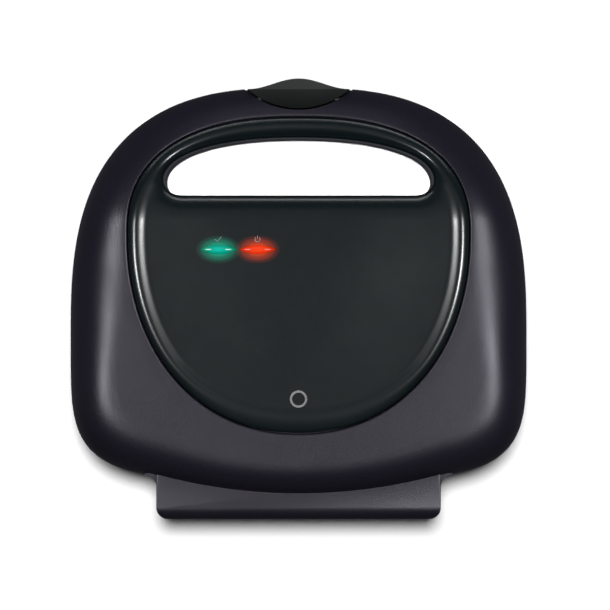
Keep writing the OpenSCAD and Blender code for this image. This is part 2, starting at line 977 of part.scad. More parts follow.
// Tray that holds both lamps under the lenses
module lamp_holder() {
    mid = (ready_x + power_x) / 2;
    color([0.9, 0.9, 0.88])
        difference() {
            translate([mid - 20, lamp_y - 5, lid_cap_z - 9.8])
                cube([40, 10, 6]);
            for (x = [ready_x, power_x])
                translate([x - 7, lamp_y - 3, lid_cap_z - 9])
                    cube([14, 6, 8]);
        }
}

module lid_wiring() {
    hub = [barrel_half_w + 2.4, hinge_y, parting_z];
    high = lid_cap_z - 9.4;
    end_z = 2 * parting_z - heater_z;
    color([0.82, 0.8, 0.74]) {
        wire([hub, hub + [3, 0, 0], [21.4, 88, 66], [21.4, 82, high], [-86, 80, high - 4],
            [-99, 66, high - 8.6], [-99, plate_y + row_step / 2, high - 10.6],
            [-97, plate_y + row_step / 2, end_z]], 1.1);
        wire([[24, 82, high], [31, 10, high], [31, -19.9, high + 1]], 0.9);
    }
}

// Plain ring set into the panel
module emblem() {
    color([0.6, 0.61, 0.62])
        translate([0, emblem_y, emblem_z])
            difference() {
                cylinder(r = emblem_r, h = 1.2);
                translate([0, 0, -1])
                    cylinder(r = emblem_r - 1.1, h = 4);
            }
}

module latch_pin() {
    color([0.78, 0.78, 0.79])
        translate([0, latch_pivot[0], latch_pivot[1]])
            along_x(latch_pin_r, -23.5, 23.5);
}

// Latch in plan: arched front edge, and the arc that fits the recess
module latch_plan() {
    steps = 20;
    polygon(concat(
        [for (i = [0:steps])
            let (x = latch_half_w * (2 * i / steps - 1))
            [x, latch_y - latch_tip * (1 + cos(180 * x / latch_half_w)) / 2]],
        [for (i = [1:steps - 1])
            let (x = latch_half_w * (1 - 2 * i / steps))
            [x, latch_arc_y + sqrt(pow(latch_arc_r, 2) - x * x)]]
    ));
}

// Latch from the side: scooped thumb rest above the pivot
module latch_profile() {
    scoop = [for (i = [0:8])
        let (s = i / 8)
        [-113.4 + 15.9 * s, 71.5 - 2 * s - 6.5 * sin(180 * pow(s, 0.85))]];
    polygon(concat([[-113.4, 55]], scoop, [[-97.5, 58.5], [-100.5, 55]]));
}

module latch() {
    color([0.16, 0.16, 0.165])
        difference() {
            intersection() {
                translate([0, 0, 20])
                    linear_extrude(60)
                        latch_plan();
                union() {
                    rotate([90, 0, 90])
                        translate([0, 0, -30])
                            linear_extrude(60)
                                latch_profile();
                    translate([-latch_arm_half_w, -114, 33])
                        cube([2 * latch_arm_half_w, 4.2, 24]);
                    translate([-latch_arm_half_w, -114, 33])
                        cube([2 * latch_arm_half_w, 6.6, 3.8]);
                }
            }
            translate([0, latch_pivot[0], latch_pivot[1]])
                along_x(latch_pin_r + pin_play, -30, 30);
        }
}

base_housing();
base_inner_frame();
base_plate();
base_heater();
base_clamp_bars();
base_plate_screws();
base_reflector();
base_screws();
base_catch();
thermostat();
thermostat_bracket();
thermal_fuse();
terminal_block();
base_wiring();
link_wires();
cord_gland();
foot_front_left();
foot_front_right();
foot_rear_left();
foot_rear_right();
foot_screws();
rating_plate();
hinge_pin_left();
hinge_pin_right();
lid_housing();
lid_panel();
lid_inner_frame();
lid_plate();
lid_heater();
lid_clamp_bars();
lid_plate_screws();
lid_reflector();
lid_screws();
panel_screws();
ready_lens();
power_lens();
ready_lamp();
power_lamp();
lamp_holder();
lid_wiring();
emblem();
latch_pin();
latch();
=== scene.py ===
"""Donut maker: casing, panel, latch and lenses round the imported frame, with materials, light and camera."""

import json
import math

import bmesh
import bpy
import numpy as np
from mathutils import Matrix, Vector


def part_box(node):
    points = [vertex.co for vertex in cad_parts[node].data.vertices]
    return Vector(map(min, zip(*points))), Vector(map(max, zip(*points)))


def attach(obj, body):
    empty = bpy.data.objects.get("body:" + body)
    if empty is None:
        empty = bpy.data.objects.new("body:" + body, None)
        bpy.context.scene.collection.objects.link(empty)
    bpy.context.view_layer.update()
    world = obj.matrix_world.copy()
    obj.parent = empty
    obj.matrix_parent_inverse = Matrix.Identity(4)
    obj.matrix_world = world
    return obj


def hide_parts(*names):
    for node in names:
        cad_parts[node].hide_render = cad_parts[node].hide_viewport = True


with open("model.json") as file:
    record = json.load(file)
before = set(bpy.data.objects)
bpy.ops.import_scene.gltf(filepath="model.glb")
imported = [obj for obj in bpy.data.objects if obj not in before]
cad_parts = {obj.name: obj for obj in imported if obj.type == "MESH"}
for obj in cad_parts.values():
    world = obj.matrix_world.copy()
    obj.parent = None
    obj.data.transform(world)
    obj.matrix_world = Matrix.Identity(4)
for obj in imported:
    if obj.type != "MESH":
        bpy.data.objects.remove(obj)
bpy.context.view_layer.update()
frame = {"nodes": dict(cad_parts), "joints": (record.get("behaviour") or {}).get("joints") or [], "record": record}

MM = 0.001

# Levels and outlines of the casing, in millimetres, as the frame has them
BASE_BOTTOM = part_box("base_housing")[0].z / MM
BASE_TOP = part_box("base_plate")[1].z / MM
LID_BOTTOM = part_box("lid_plate")[0].z / MM
PARTING = (BASE_TOP + LID_BOTTOM) / 2
HALF_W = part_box("lid_housing")[1].x / MM
TAIL_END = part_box("lid_housing")[1].y / MM
CAP = 86.0
GRIP_DROP = 14.0
WALL = 2.6
LID_WALL_Z = 58.0
BASE_WALL_Z = 30.0
OUTLINE_Y, FRONT_B, FRONT_N, REAR_B, REAR_N = 18.0, 126.9, 2.75, 75.0, 4.65
BULGE_R, BULGE_Y, BULGE_HALF_W = 293.0, -191.7, 82.0
PANEL_Y, PANEL_A = -33.2, 87.0
PANEL_FRONT, PANEL_REAR = (59.8, 2.45), (101.4, 2.15)
GRIP_Y, GRIP_A, GRIP_WALL = -60.5, 68.9, 2.2
GRIP_FRONT, GRIP_REAR_B, GRIP_CORNER = (22.2, 2.2), 7.5, 9.0
PANEL_GAP = 0.5
LEDGE = 5.4
TAIL_HALF_W, TAIL_CORNER = 72.9, 6.0
LID_TAIL_Z, BASE_TAIL_Z = 72.0, 32.0
HINGE = frame["joints"][0]["pos_m"][1] / MM
LUG_R, PIN_R, PIN_PLAY = 7.5, 2.0, 0.05
BASE_WEB_Y, LID_WEB_Y = (92.0, 100.3), (HINGE - LUG_R + 0.7, HINGE + LUG_R - 0.7)
LINK_PATH = [(0, 97, 14), (0, 97, 41), (3, HINGE, PARTING), (18, HINGE, PARTING)]
LATCH_ARC_Y, LATCH_ARC_R, RECESS_R = -137.9, 40.0, 41.0
LATCH_PIVOT = (-103.0, 60.0)
LENS_HALF_L, LENS_HALF_W = 9.0, 2.3
LATCH_BORE_R, SCREW_HOLE_R = 1.55, 1.7
CASING_SCREWS = ((108.4, -15), (108.4, 55), (-108.4, -15), (-108.4, 55))
FILLET_R, FILLET_Y, LID_TAIL_Y = 5.8, 96.3, 89.2


# ---- Outlines and heights --------------------------------------------------------------

def super_value(x, y, a, b, n):
    return np.abs(x / a) ** n + np.abs(y / b) ** n


def in_casing(x, y, bulged):
    front = y < OUTLINE_Y
    dy = y - OUTLINE_Y
    inside = np.where(
        front,
        super_value(x, dy, HALF_W, FRONT_B, FRONT_N) < 1,
        super_value(x, dy, HALF_W, REAR_B, REAR_N) < 1,
    )
    if bulged:
        inside |= ~front & (np.abs(x) < BULGE_HALF_W) & (np.hypot(x, y - BULGE_Y) < BULGE_R)
    return inside


def in_panel(x, y):
    dy = y - PANEL_Y
    return np.where(
        dy < 0,
        super_value(x, dy, PANEL_A, *PANEL_FRONT) < 1,
        super_value(x, dy, PANEL_A, *PANEL_REAR) < 1,
    )


def in_grip(x, y):
    dy = y - GRIP_Y
    past = np.maximum(np.abs(x) - (GRIP_A - GRIP_CORNER), 0) / GRIP_CORNER
    return np.where(
        dy < 0,
        super_value(x, dy, GRIP_A, *GRIP_FRONT) < 1,
        past ** 2 + (dy / GRIP_REAR_B) ** 2 < 1,
    )


def ray_radius(inside, angles, centre_y, high=190.0):
    """Radius along each ray at which the outline is crossed, by halving the interval."""
    low, high = np.zeros_like(angles), np.full_like(angles, high)
    for _ in range(40):
        mid = (low + high) / 2
        hit = inside(mid * np.cos(angles), centre_y + mid * np.sin(angles))
        low, high = np.where(hit, mid, low), np.where(hit, high, mid)
    return low


def grip_outline(grow=0.0, count=160):
    """Points of the handle opening, grown outwards: front arch, then the two rear corners."""
    b, n = GRIP_FRONT
    t = np.linspace(math.pi, 2 * math.pi, count)
    c, s = np.cos(t), np.sin(t)
    arch_x = (GRIP_A + grow) * np.sign(c) * np.abs(c) ** (2 / n)
    arch_y = GRIP_Y - (b + grow) * np.abs(s) ** (2 / n)
    t = np.linspace(0, math.pi, count // 2)[1:-1]
    c, s = np.cos(t), np.sin(t)
    corner_x = (GRIP_A - GRIP_CORNER) * np.where(t < math.pi / 2, 1, -1) + (GRIP_CORNER + grow) * c
    corner_y = GRIP_Y + (GRIP_REAR_B + grow) * s
    return np.stack([np.append(arch_x, corner_x), np.append(arch_y, corner_y)], axis=1)


def smooth_step(s):
    k = np.clip(s, 0, 1)
    return k * k * (3 - 2 * k)


def grip_slope(y):
    return smooth_step((-40 - y) / 60)


def lid_cap(y):
    return CAP - GRIP_DROP * grip_slope(y)


def base_floor(y):
    return BASE_BOTTOM + (GRIP_DROP + 4) * grip_slope(y)


def shoulder(d, w):
    k = np.clip(d / w, 0, 1)
    return (1 - (1 - k) ** 2.2) ** (1 / 2.2)


# ---- Mesh helpers ----------------------------------------------------------------------

def new_object(name, points, faces):
    """Mesh object from points in millimetres."""
    mesh = bpy.data.meshes.new(name)
    mesh.from_pydata([tuple(float(c) * MM for c in p) for p in points], [], faces)
    mesh.validate()
    made = bpy.data.objects.new(name, mesh)
    bpy.context.scene.collection.objects.link(made)
    return made


def ring_points(x, y, z):
    return np.stack([x, y, np.broadcast_to(z, np.shape(x))], axis=1)


def band(i, j, count):
    return [
        (i * count + k, i * count + (k + 1) % count, j * count + (k + 1) % count, j * count + k)
        for k in range(count)
    ]


def ring_tube(name, rings):
    """Closed tube of rings, the last joined to the first."""
    count = len(rings[0])
    faces = []
    for i in range(len(rings)):
        faces += band(i, (i + 1) % len(rings), count)
    return new_object(name, np.concatenate(rings), faces)


def ring_cap(name, rings, hangs=False):
    """Solid of stacked rings, closed by a flat face at each end."""
    count = len(rings[0])
    last = (len(rings) - 1) * count
    faces = [tuple(range(count))[::-1]]
    for i in range(len(rings) - 1):
        faces += band(i, i + 1, count)
    faces.append(tuple(last + k for k in range(count)))
    if hangs:
        faces = [face[::-1] for face in faces]
    return new_object(name, np.concatenate(rings), faces)


def prism(name, outline, low, high):
    """Solid between two levels over a plan outline."""
    outline = np.asarray(outline)
    if polygon_area(outline) < 0:
        outline = outline[::-1]
    return ring_cap(name, [ring_points(outline[:, 0], outline[:, 1], z) for z in (low, high)])


def side_prism(name, profile, x0, x1):
    """Solid between two X places over a side profile of (y, z) points."""
    made = prism(name, profile, x0, x1)
    for v in made.data.vertices:
        v.co = (v.co.z, v.co.x, v.co.y)
    return made


def polygon_area(p):
    return 0.5 * float(np.sum(p[:, 0] * np.roll(p[:, 1], -1) - np.roll(p[:, 0], -1) * p[:, 1]))


def circle(cx, cy, r, count=96):
    t = np.linspace(0, 2 * math.pi, count, endpoint=False)
    return np.stack([cx + r * np.cos(t), cy + r * np.sin(t)], axis=1)


def box(name, x0, x1, y0, y1, z0, z1):
    return prism(name, [(x0, y0), (x1, y0), (x1, y1), (x0, y1)], z0, z1)


def apply_modifiers(target):
    evaluated = target.evaluated_get(bpy.context.evaluated_depsgraph_get())
    mesh = bpy.data.meshes.new_from_object(evaluated)
    target.modifiers.clear()
    target.data = mesh
    return target


def combine(target, tool, operation):
    """Exact boolean of two solids; the tool is used up."""
    step = target.modifiers.new(operation.lower(), "BOOLEAN")
    step.operation, step.object, step.solver = operation, tool, "EXACT"
    apply_modifiers(target)
    bpy.data.objects.remove(tool)
    return target


def cut(target, tool):
    return combine(target, tool, "DIFFERENCE")


def join(target, tool):
    return combine(target, tool, "UNION")


def keep(target, tool):
    return combine(target, tool, "INTERSECT")


def bevel(target, width, segments=3, angle=35):
    step = target.modifiers.new("edges", "BEVEL")
    step.width, step.segments = width * MM, segments
    step.limit_method, step.angle_limit = "ANGLE", math.radians(angle)
    step.harden_normals = False
    return apply_modifiers(target)


def smooth(target, angle=32):
    for face in target.data.polygons:
        face.use_smooth = True
    target.data.set_sharp_from_angle(angle=math.radians(angle))
    return target


# ---- Casing shells ---------------------------------------------------------------------

RAYS = np.linspace(0, 2 * math.pi, 384, endpoint=False)
LID_R = ray_radius(lambda x, y: in_casing(x, y, True), RAYS, PANEL_Y)
BASE_R = ray_radius(lambda x, y: in_casing(x, y, False), RAYS, PANEL_Y)
PANEL_R = ray_radius(in_panel, RAYS, PANEL_Y)
FINE = [0.004, 0.012, 0.025, 0.042, 0.065, 0.095, 0.13, 0.17,
        0.22, 0.28, 0.35, 0.43, 0.52, 0.62, 0.73, 0.85]


def at_radius(r):
    return r * np.cos(RAYS), PANEL_Y + r * np.sin(RAYS)


def wall_ring(radii, inset, z):
    x, y = at_radius(radii - inset)
    return ring_points(x, y, z)


def lid_ring(u, skin=0.0):
    span = LID_R - PANEL_R - PANEL_GAP
    d = skin + u * (span - skin)
    x, y = at_radius(LID_R - d)
    low, high = LID_WALL_Z - skin / 2, lid_cap(y) - skin
    width = np.minimum(span, 30 - 14 * np.maximum(0, np.sin(RAYS)) ** 3)
    return ring_points(x, y, low + (high - low) * shoulder(d - skin, width))


def panel_edge_ring(grow, depth):
    x, y = at_radius(PANEL_R + grow)
    return ring_points(x, y, lid_cap(y) - depth)


def base_ring(u, skin=0.0):
    span = BASE_R - PANEL_R
    d = skin + u * (span - skin)
    x, y = at_radius(BASE_R - d)
    low, high = base_floor(y) + skin, BASE_WALL_Z + skin / 2
    return ring_points(x, y, high + (low - high) * shoulder(d - skin, np.minimum(18, span)))


def base_floor_ring(size, skin=0.0):
    x, y = at_radius(PANEL_R * size)
    return ring_points(x, y, base_floor(y) + skin)


def tail_block(name, inset, y0, low, high, edge_r, round_edges=0.0):
    """Block behind the casing: rounded plan corners and a rounded top edge."""
    half, end, r = TAIL_HALF_W - inset, TAIL_END - inset, TAIL_CORNER - inset
    a = np.linspace(0, math.pi / 2, 13)
    right = np.stack([half - r + r * np.cos(a), end - r + r * np.sin(a)], axis=1)
    left = np.stack([-right[::-1, 0], right[::-1, 1]], axis=1)
    plan = np.concatenate([[(half, y0)], right, left, [(-half, y0)]])
    edge = np.stack([end - edge_r + edge_r * np.cos(a), high - edge_r + edge_r * np.sin(a)], axis=1)
    profile = np.concatenate([[(y0 - 1, low - 1), (end, low - 1)], edge, [(y0 - 1, high)]])
    block = keep(prism(name, plan, low, high), side_prism("side", profile, -half - 1, half + 1))
    return bevel(block, round_edges) if round_edges else block


def tail_fillet(side):
    """Concave fillet in plan between the casing and one side of the lid's tail."""
    r = FILLET_R
    a = np.radians(np.linspace(270, 180, 19))
    arc = np.stack([TAIL_HALF_W + r + r * np.cos(a), FILLET_Y + r * np.sin(a)], axis=1)
    inner = TAIL_HALF_W - 1.4
    corners = [(inner, FILLET_Y), (inner, LID_TAIL_Y), (TAIL_HALF_W + r, LID_TAIL_Y)]
    outline = np.concatenate([corners, arc]) * (side, 1)
    return prism("fillet", outline, LID_BOTTOM, LID_TAIL_Z - 1)


def sweep(name, path, r, count=24):
    """Round tube along straight lengths, mitred at each bend."""
    path = [Vector(p) for p in path]
    rings = []
    for i, point in enumerate(path):
        before = (point - path[max(i - 1, 0)]).normalized()
        after = (path[min(i + 1, len(path) - 1)] - point).normalized()
        along = (before + after).normalized()
        side = along.cross(Vector((0.3, 1, 0.2))).normalized()
        up = along.cross(side)
        stretch = 1 / max(0.5, along.dot(after if i == 0 else before))
        turn = [2 * math.pi * k / count for k in range(count)]
        rings.append(np.array([
            point + r * stretch * (math.cos(t) * side + math.sin(t) * up) for t in turn]))
    return ring_cap(name, rings)


def hinge_lug(name, x0, x1, root, web_y):
    """One hinge lug with its web up or down to the root level, and the pin's bore."""
    lug = side_prism(name, circle(HINGE, PARTING, LUG_R), x0, x1)
    lug = join(lug, box("web", x0, x1, *web_y, min(PARTING, root), max(PARTING, root)))
    cut(lug, side_prism("bore", circle(HINGE, PARTING, PIN_R + PIN_PLAY, 48), x0 - 1, x1 + 1))
    return bevel(lug, 0.4, 2)


def lid_shell():
    edge = [(1.4, 0.0), (0.8, 0.04), (0.35, 0.22), (0.08, 0.55), (0.0, 1.0)]
    rings = [
        wall_ring(LID_R, 0.7, LID_BOTTOM), wall_ring(LID_R, 0.25, LID_BOTTOM + 0.12),
        wall_ring(LID_R, 0.04, LID_BOTTOM + 0.45), wall_ring(LID_R, 0, LID_BOTTOM + 0.9),
        wall_ring(LID_R, 0, LID_BOTTOM + 6), wall_ring(LID_R, 0, LID_WALL_Z),
    ]
    rings += [lid_ring(u) for u in FINE]
    rings += [panel_edge_ring(PANEL_GAP + out, depth) for out, depth in edge]
    rings += [
        panel_edge_ring(PANEL_GAP, LEDGE), panel_edge_ring(-4, LEDGE), panel_edge_ring(-4, LEDGE + 2),
        panel_edge_ring(2.5, LEDGE + 2), lid_ring(0.6, WALL), lid_ring(0.3, WALL), lid_ring(0.1, WALL),
        wall_ring(LID_R, WALL, LID_WALL_Z - WALL / 2), wall_ring(LID_R, WALL, LID_BOTTOM),
    ]
    return ring_tube("lid_casing", rings)


def lid_casing():
    shell = lid_shell()
    join(shell, tail_block("tail", 0, LID_TAIL_Y, LID_BOTTOM, LID_TAIL_Z, TAIL_CORNER, 1.0))
    for side in (-1, 1):
        join(shell, tail_fillet(side))
    cut(shell, tail_block("hollow", WALL, 80, LID_BOTTOM - 1, LID_TAIL_Z - WALL, TAIL_CORNER - WALL))
    trim = ring_cap("trim", [
        wall_ring(LID_R, 0.3, LID_BOTTOM), wall_ring(LID_R, 0.3, LID_WALL_Z), lid_ring(0.1, 0.4),
        lid_ring(0.25, 0.4), lid_ring(0.5, 0.4), lid_ring(0.8, 0.4), panel_edge_ring(0, 6),
        panel_edge_ring(-40, 6),
    ])
    pocket = keep(prism("pocket", circle(0, LATCH_ARC_Y, RECESS_R + 2.4, 192), LID_BOTTOM, CAP), trim)
    join(shell, pocket)
    cut(shell, prism("recess", circle(0, LATCH_ARC_Y, RECESS_R, 192), LID_BOTTOM - 1, CAP + 1))
    cut(shell, side_prism("pin", circle(*LATCH_PIVOT, LATCH_BORE_R, 32), -27, 27))
    for x0, x1 in ((54.4, 64), (-64, -54.4)):
        join(shell, hinge_lug("lug", x0, x1, LID_TAIL_Z - 1, LID_WEB_Y))
    for x, y in CASING_SCREWS:
        join(shell, prism("boss", circle(x, y, 3.4, 32), LID_BOTTOM + 3.1, LID_BOTTOM + 25))
        cut(shell, prism("hole", circle(x, y, 1.4, 24), LID_BOTTOM, LID_BOTTOM + 18))
    for x, y in ((80, -25), (-80, -25), (49, 45), (-49, 45)):
        join(shell, prism("tab", circle(x, y, 5, 32), CAP - 7.3, CAP - 5.5))
        cut(shell, prism("hole", circle(x, y, SCREW_HOLE_R, 24), CAP - 9, CAP - 4))
    return smooth(shell)


def base_casing():
    outer = [
        wall_ring(BASE_R, 0.7, BASE_TOP), wall_ring(BASE_R, 0.25, BASE_TOP - 0.12),
        wall_ring(BASE_R, 0.04, BASE_TOP - 0.45), wall_ring(BASE_R, 0, BASE_TOP - 0.9),
        wall_ring(BASE_R, 0, BASE_WALL_Z),
    ]
    outer += [base_ring(u) for u in FINE]
    outer += [base_floor_ring(s) for s in (1, 0.9, 0.8, 0.7, 0.6, 0.5, 0.4, 0.3, 0.2, 0.1)]
    shell = ring_cap("base_casing", outer, hangs=True)
    join(shell, tail_block("tail", 0, 80, BASE_BOTTOM, BASE_TAIL_Z, 3, 1.0))
    inner = [wall_ring(BASE_R, WALL, BASE_TOP + 1), wall_ring(BASE_R, WALL, BASE_WALL_Z + WALL / 2)]
    inner += [base_ring(u, WALL) for u in (0.04, 0.1, 0.18, 0.3, 0.45, 0.65, 0.85)]
    inner += [base_floor_ring(s, WALL) for s in (1, 0.85, 0.7, 0.55, 0.4, 0.2, 0.1)]
    hollow = ring_cap("hollow", inner, hangs=True)
    cut(hollow, prism("sleeve", grip_outline(GRIP_WALL), 0, 60))
    cut(hollow, box("block", -14, 14, -105.5, -99, 26, 50))
    cut(shell, hollow)
    cut(shell, tail_block("rear", WALL, 78, BASE_BOTTOM + WALL, BASE_TAIL_Z - WALL, 1))
    for x0, x1 in ((44, 54), (-54, -44)):
        join(shell, hinge_lug("lug", x0, x1, BASE_TAIL_Z - 1, BASE_WEB_Y))
    barrel = side_prism("barrel", circle(HINGE, PARTING, LUG_R), -16, 16)
    join(barrel, box("web", -16, 16, *BASE_WEB_Y, BASE_TAIL_Z - 1, PARTING))
    join(shell, bevel(barrel, 0.5, 2))
    join(shell, box("inlet", -57.4, -32.6, 100.2, 112.2, BASE_BOTTOM + 1, BASE_TAIL_Z - 1))
    cut(shell, prism("grip", grip_outline(), -1, 60))
    cut(shell, box("catch", -12, 12, -112, -101, 28, 58))
    for x, y in CASING_SCREWS:
        join(shell, prism("tube", circle(x, y, 4.2, 32), 14, 36))
        cut(shell, prism("sink", circle(x, y, 3, 32), BASE_BOTTOM - 2, 20))
        cut(shell, prism("hole", circle(x, y, SCREW_HOLE_R, 24), BASE_BOTTOM, 46))
    for x, y in ((-80, -22), (80, -22), (-80, 68), (80, 68)):
        cut(shell, prism("hole", circle(x, y, SCREW_HOLE_R, 24), BASE_BOTTOM - 1, BASE_BOTTOM + 4))
    cut(shell, side_prism("wires", circle(HINGE, PARTING, 4, 48), -1, 17))
    cut(shell, sweep("duct", LINK_PATH, 2.8))
    cut(shell, box("notch", -55, -35, 105, 115, BASE_BOTTOM - 1, 28))
    gland = prism("gland", circle(-45, -18, 5, 48), 99, 107)
    for v in gland.data.vertices:
        v.co = (v.co.x, v.co.z, -v.co.y)
    gland.data.flip_normals()
    cut(shell, gland)
    return smooth(shell)


# ---- Glossy panel ----------------------------------------------------------------------

def nearest_distance(points, outline):
    """Distance from each point to a closed outline, taken between its vertices."""
    a, b = outline, np.roll(outline, -1, axis=0)
    ab = b - a
    best = np.full(len(points), 1e9)
    length = np.sum(ab * ab, axis=1)
    for start in range(0, len(points), 4000):
        p = points[start:start + 4000, None, :]
        t = np.clip(np.sum((p - a) * ab, axis=2) / length, 0, 1)
        gap = p - (a + t[..., None] * ab)
        best[start:start + 4000] = np.sqrt(np.min(np.sum(gap * gap, axis=2), axis=1))
    return best


def panel_height(x, y):
    """Top of the panel: rolled rim round its edge, crowned field, lip rolling into the opening."""
    points = np.stack([x, y], axis=1)
    t = np.linspace(0, 2 * math.pi, 720, endpoint=False)
    r = ray_radius(in_panel, t, PANEL_Y)
    edge = np.stack([r * np.cos(t), PANEL_Y + r * np.sin(t)], axis=1)
    from_edge = nearest_distance(points, edge)
    from_grip = nearest_distance(points, grip_outline())
    rear = smooth_step((y - 30) / 35)
    rim_w = 4.2 + 3.3 * rear
    rise = 1.8 * np.sin(np.clip(from_edge / rim_w, 0, 1) * math.pi / 2) ** 0.9
    fall = 1.1 * smooth_step((from_edge - rim_w) / (5.5 + 2.0 * rear))
    edge_round = 1.0 * (1 - np.sqrt(1 - (1 - np.clip(from_edge / 1.0, 0, 1)) ** 2))
    field = 0.7 * smooth_step((from_edge - 12) / 50)
    behind = smooth_step((y - GRIP_Y) / 10)
    lip_w = 8.0 + 4.0 * behind
    lip_depth = 5.2 + 0.6 * behind
    k = 1 - np.clip(from_grip / lip_w, 0, 1)
    lip = lip_depth * (1 - np.sqrt(np.maximum(0, 1 - k ** 2.2)))
    return lid_cap(y) + rise - fall + field - edge_round - lip


def panel_rings():
    """Rays from the middle of the handle opening, and the radii of both outlines along them."""
    phi = np.linspace(0, 2 * math.pi, 512, endpoint=False)
    flat = np.arctan2(22 * np.sin(phi), 69 * np.cos(phi))
    mixed = np.unwrap(flat) * 0.55 + phi * 0.45
    centre = GRIP_Y - 4.0
    return mixed, centre, ray_radius(in_grip, mixed, centre), ray_radius(in_panel, mixed, centre)


def lid_panel():
    angles, centre, inner, outer = panel_rings()
    c, s = np.cos(angles), np.sin(angles)

    def ring(r, height):
        x, y = r * c, centre + r * s
        z = height(x, y) if callable(height) else np.full_like(x, height)
        return ring_points(x, y, z)

    span = outer - inner
    samples = (1 - np.cos(np.linspace(0, math.pi, 84))) / 2
    rings = [ring(outer, lambda x, y: lid_cap(y) - 5.0), ring(outer, lambda x, y: lid_cap(y) - 2.4)]
    rings += [ring(outer - span * u, panel_height) for u in samples]
    floor = LID_BOTTOM + 0.6
    rings += [
        ring(inner, lambda x, y: lid_cap(y) - 9.0), ring(inner, floor + 0.4), ring(inner + 0.4, floor),
        ring(inner + GRIP_WALL, floor), ring(inner + GRIP_WALL, lambda x, y: lid_cap(y) - 9.5),
    ]
    rings += [ring(inner + 2.4 + (span - 5) * u, lambda x, y: lid_cap(y) - 3.4) for u in (0.35, 0.7, 1.0)]
    rings += [ring(outer - 2.2, lambda x, y: lid_cap(y) - 5.0)]
    panel = ring_tube("panel", rings)
    panel.data.flip_normals()
    for x in LENS_X:
        cut(panel, prism("slot", eye_outline(x, LENS_Y, 0.15), CAP - 6, CAP + 6))
    return smooth(panel, 40)


# ---- Lenses, icons and latch -----------------------------------------------------------

LENS_Y = (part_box("ready_lens")[0].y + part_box("ready_lens")[1].y) / 2 / MM
LENS_X = [(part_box(n)[0].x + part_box(n)[1].x) / 2 / MM for n in ("ready_lens", "power_lens")]


def eye_outline(cx, cy, grow=0.0, count=40):
    """Outline with two pointed ends, made of two arcs."""
    x = np.linspace(-1, 1, count)
    r = (LENS_HALF_L ** 2 + LENS_HALF_W ** 2) / (2 * LENS_HALF_W)
    y = np.sqrt(r ** 2 - (x * LENS_HALF_L) ** 2) - (r - LENS_HALF_W) + grow
    lower = np.stack([cx + x * (LENS_HALF_L + grow), cy - y], axis=1)
    upper = np.stack([cx - x * (LENS_HALF_L + grow), cy + y], axis=1)
    return np.concatenate([lower, upper])


def lens(name, node):
    """Raised lens: domed across its width, with a crest that thickens in the middle."""
    low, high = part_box(node)
    cx, cy = (low.x + high.x) / 2 / MM, (low.y + high.y) / 2 / MM
    bottom, top = low.z / MM, high.z / MM
    outline = eye_outline(cx, cy)
    level = CAP + 0.9
    rings = [ring_points(outline[:, 0], outline[:, 1], z) for z in (bottom, level)]
    for k in np.linspace(0.06, 0.97, 14):
        x = cx + (outline[:, 0] - cx) * (1 - 0.55 * k)
        y = cy + (outline[:, 1] - cy) * (1 - k)
        bulge = math.sqrt(1 - (1 - k) ** 2)
        z = level + (top - level) * bulge * (1 - 0.55 * np.abs((x - cx) / LENS_HALF_L) ** 2)
        rings.append(ring_points(x, y, z))
    made = ring_cap(name, rings)
    return smooth(made, 60)


def strip(name, points, width, height, level):
    """Thin raised line through plan points, for the printed marks."""
    points = np.asarray(points, dtype=float)
    ahead = np.gradient(points, axis=0)
    ahead /= np.linalg.norm(ahead, axis=1)[:, None]
    side = np.stack([-ahead[:, 1], ahead[:, 0]], axis=1) * width / 2
    outline = np.concatenate([points + side, (points - side)[::-1]])
    return prism(name, outline, level, level + height)


def icon(name, cx, cy, kind):
    """Small generic mark above a lens: a tick for ready, a ring with a bar for power."""
    level = float(panel_height(np.array([cx]), np.array([cy]))[0]) - 0.04
    if kind == "tick":
        tick = [(cx + 1.7, cy - 0.1), (cx + 0.5, cy + 1.1), (cx - 1.7, cy - 1.3)]
        made = strip(name, tick, 0.42, 0.1, level)
    else:
        t = np.linspace(math.radians(-50), math.radians(230), 25)
        made = strip(name, np.stack([cx + 1.3 * np.cos(t), cy + 1.3 * np.sin(t)], axis=1), 0.4, 0.1, level)
        join(made, strip("bar", [(cx, cy - 1.9), (cx, cy - 0.2)], 0.4, 0.1, level))
    return made


def latch():
    """Latch with its arched front, thumb rest that falls to the rear, arm and hook."""
    half_w, tip, count = 26.2, 5.4, 60
    x = np.linspace(-half_w, half_w, count)
    front = np.stack([x, -107.6 - tip * (1 + np.cos(math.pi * x / half_w)) / 2], axis=1)
    back_x = x[::-1][1:-1]
    back = np.stack([back_x, LATCH_ARC_Y + np.sqrt(LATCH_ARC_R ** 2 - back_x ** 2)], axis=1)
    plan = np.concatenate([front, back])
    s = np.linspace(0, 1, 33)
    rest = np.stack([-113.4 + 15.9 * s, 71.5 - 3.2 * s - 2.2 * s ** 3], axis=1)
    profile = np.concatenate([[(-113.4, 55)], rest, [(-97.5, 58.5), (-100.5, 55)]])
    body = side_prism("latch_lever", profile, -30, 30)
    join(body, box("arm", -9, 9, -114, -109.8, 33, 57))
    join(body, box("hook", -9, 9, -114, -107.4, 33, 36.8))
    keep(body, prism("plan", plan, 20, 80))
    cut(body, side_prism("pin", circle(*LATCH_PIVOT, LATCH_BORE_R, 32), -30, 30))
    bevel(body, 0.5, 3, 40)
    return smooth(body, 38)


# ---- Materials -------------------------------------------------------------------------

def node_material(name):
    made = bpy.data.materials.new(name)
    made.use_nodes = True
    nodes, links = made.node_tree.nodes, made.node_tree.links
    return made, nodes, links, nodes["Principled BSDF"]


def noise(nodes, links, scale, detail=4.0, rough=0.6):
    coords = nodes.new("ShaderNodeTexCoord")
    made = nodes.new("ShaderNodeTexNoise")
    made.inputs["Scale"].default_value = scale
    made.inputs["Detail"].default_value = detail
    made.inputs["Roughness"].default_value = rough
    links.new(coords.outputs["Object"], made.inputs["Vector"])
    return made


